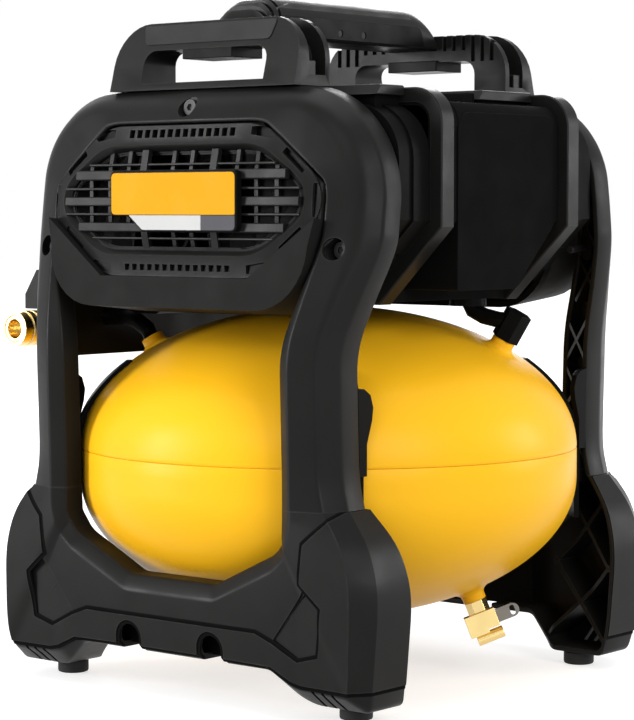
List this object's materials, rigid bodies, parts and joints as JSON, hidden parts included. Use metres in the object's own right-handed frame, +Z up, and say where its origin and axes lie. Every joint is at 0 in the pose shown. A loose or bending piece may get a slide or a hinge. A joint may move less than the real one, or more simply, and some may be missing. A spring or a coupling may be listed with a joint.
{
  "type": "pancake air compressor",
  "caption": "Battery pancake air compressor: a flat round tank between two moulded leg frames, with a hooded pump on top, loop handles, a gauge console and a drain valve.",
  "frame": {"origin": "on the floor, on the tank's upright axis", "axes": "+Z up, -Y towards the grille at the front, +X to the right of someone who faces the grille; the gauge console is at -X"},
  "size_m": [0.3164, 0.3, 0.401],
  "materials": {
    "charcoal": "fine grained, satin",
    "black": "satin",
    "tank_yellow": "glossy powder coat",
    "badge_yellow": "gloss",
    "badge_grey": "gloss",
    "brass": "machined",
    "steel": "satin",
    "alloy": "cast",
    "rubber": "matt",
    "lens": "clear",
    "dial": "matt",
    "red": "gloss",
    "board": "gloss",
    "lever": "satin grey"
  },
  "bodies": {
    "chassis": {"tank_upper": "tank_yellow", "tank_lower": "tank_yellow", "front_frame": "charcoal", "rear_frame": "charcoal", "front_base": "charcoal", "rear_base": "charcoal", "rubber_feet": "rubber", "frame_screws": "steel", "front_handle": "charcoal", "rear_handle": "charcoal", "carry_handle": "charcoal", "barrel_cover": "black", "front_shroud": "charcoal", "rear_shroud": "charcoal", "front_grille": "charcoal", "badge_plate": "badge_yellow", "badge_strip": "badge_grey", "front_cradle": "black", "rear_cradle": "black", "motor_stator": "steel", "shaft_bearings": "steel", "crankcase": "alloy", "cylinder_sleeve": "alloy", "valve_plate": "steel", "cylinder_head": "alloy", "intake_filter": "black", "discharge_tube": "black", "check_valve": "black", "control_board": "board", "console": "charcoal", "manifold": "brass", "gauge_cases": "black", "gauge_dials": "dial", "gauge_lenses": "lens", "switch_bezel": "black", "coupler_body": "brass", "safety_valve": "brass", "battery_dock": "black", "drain_body": "brass", "outlet_tube": "black"},
    "crank": {"motor_rotor": "black", "drive_shaft": "steel", "cooling_fan": "black", "crank_disc": "steel"},
    "piston": {"connecting_rod": "alloy", "piston": "alloy", "piston_cup": "black"},
    "tank_pointer": {"tank_needle": "red"},
    "outlet_pointer": {"outlet_needle": "red"},
    "knob": {"regulator_knob": "black"},
    "rocker": {"switch_rocker": "red"},
    "sleeve": {"coupler_sleeve": "brass"},
    "plunger": {"coupler_valve": "steel"},
    "pull": {"safety_pull": "steel"},
    "battery": {"battery_pack": "charcoal"},
    "button": {"battery_button": "badge_yellow"},
    "drain": {"drain_stem": "steel", "drain_hub": "black", "drain_lever": "lever"}
  },
  "joints": [
    {"name": "crank_spin", "type": "hinge", "parent": "chassis", "child": "crank", "pos_m": [0, 0, 0.284], "axis": [0, 1, 0], "continuous": true},
    {"name": "piston_stroke", "type": "slide", "parent": "chassis", "child": "piston", "axis": [1, 0, 0], "range_m": [-0.024, 0]},
    {"name": "tank_pointer_turn", "type": "hinge", "parent": "chassis", "child": "tank_pointer", "pos_m": [-0.155, -0.03, 0.22], "axis": [1, 0, 0], "range_deg": [0, 270], "stiffness_Nm_per_rad": 0.002},
    {"name": "outlet_pointer_turn", "type": "hinge", "parent": "chassis", "child": "outlet_pointer", "pos_m": [-0.155, 0.012, 0.22], "axis": [1, 0, 0], "range_deg": [0, 270], "stiffness_Nm_per_rad": 0.002},
    {"name": "knob_turn", "type": "hinge", "parent": "chassis", "child": "knob", "pos_m": [-0.1594, 0.054, 0.22], "axis": [1, 0, 0], "range_deg": [0, 720]},
    {"name": "switch_rock", "type": "hinge", "parent": "chassis", "child": "rocker", "pos_m": [-0.151, -0.068, 0.22], "axis": [0, 0, 1], "range_deg": [-18, 0]},
    {"name": "sleeve_slide", "type": "slide", "parent": "chassis", "child": "sleeve", "axis": [0, 1, 0], "range_m": [0, 0.005], "stiffness_N_per_m": 400, "springref_m": -0.004},
    {"name": "plunger_slide", "type": "slide", "parent": "chassis", "child": "plunger", "axis": [0, 1, 0], "range_m": [0, 0.004], "stiffness_N_per_m": 200, "springref_m": -0.003},
    {"name": "relief_pull", "type": "slide", "parent": "chassis", "child": "pull", "axis": [0, 1, 0], "range_m": [0, 0.004], "stiffness_N_per_m": 500, "springref_m": -0.004},
    {"name": "battery_slide", "type": "slide", "parent": "chassis", "child": "battery", "axis": [0, 1, 0], "range_m": [0, 0.11]},
    {"name": "button_press", "type": "slide", "parent": "battery", "child": "button", "axis": [0, -1, 0], "range_m": [0, 0.003], "stiffness_N_per_m": 300, "springref_m": -0.002},
    {"name": "drain_turn", "type": "hinge", "parent": "chassis", "child": "drain", "pos_m": [0.09001, 0.04325, 0.03328], "axis": [-0.6375, 0.7634, -0.1042], "range_deg": [0, 90]}
  ]
}
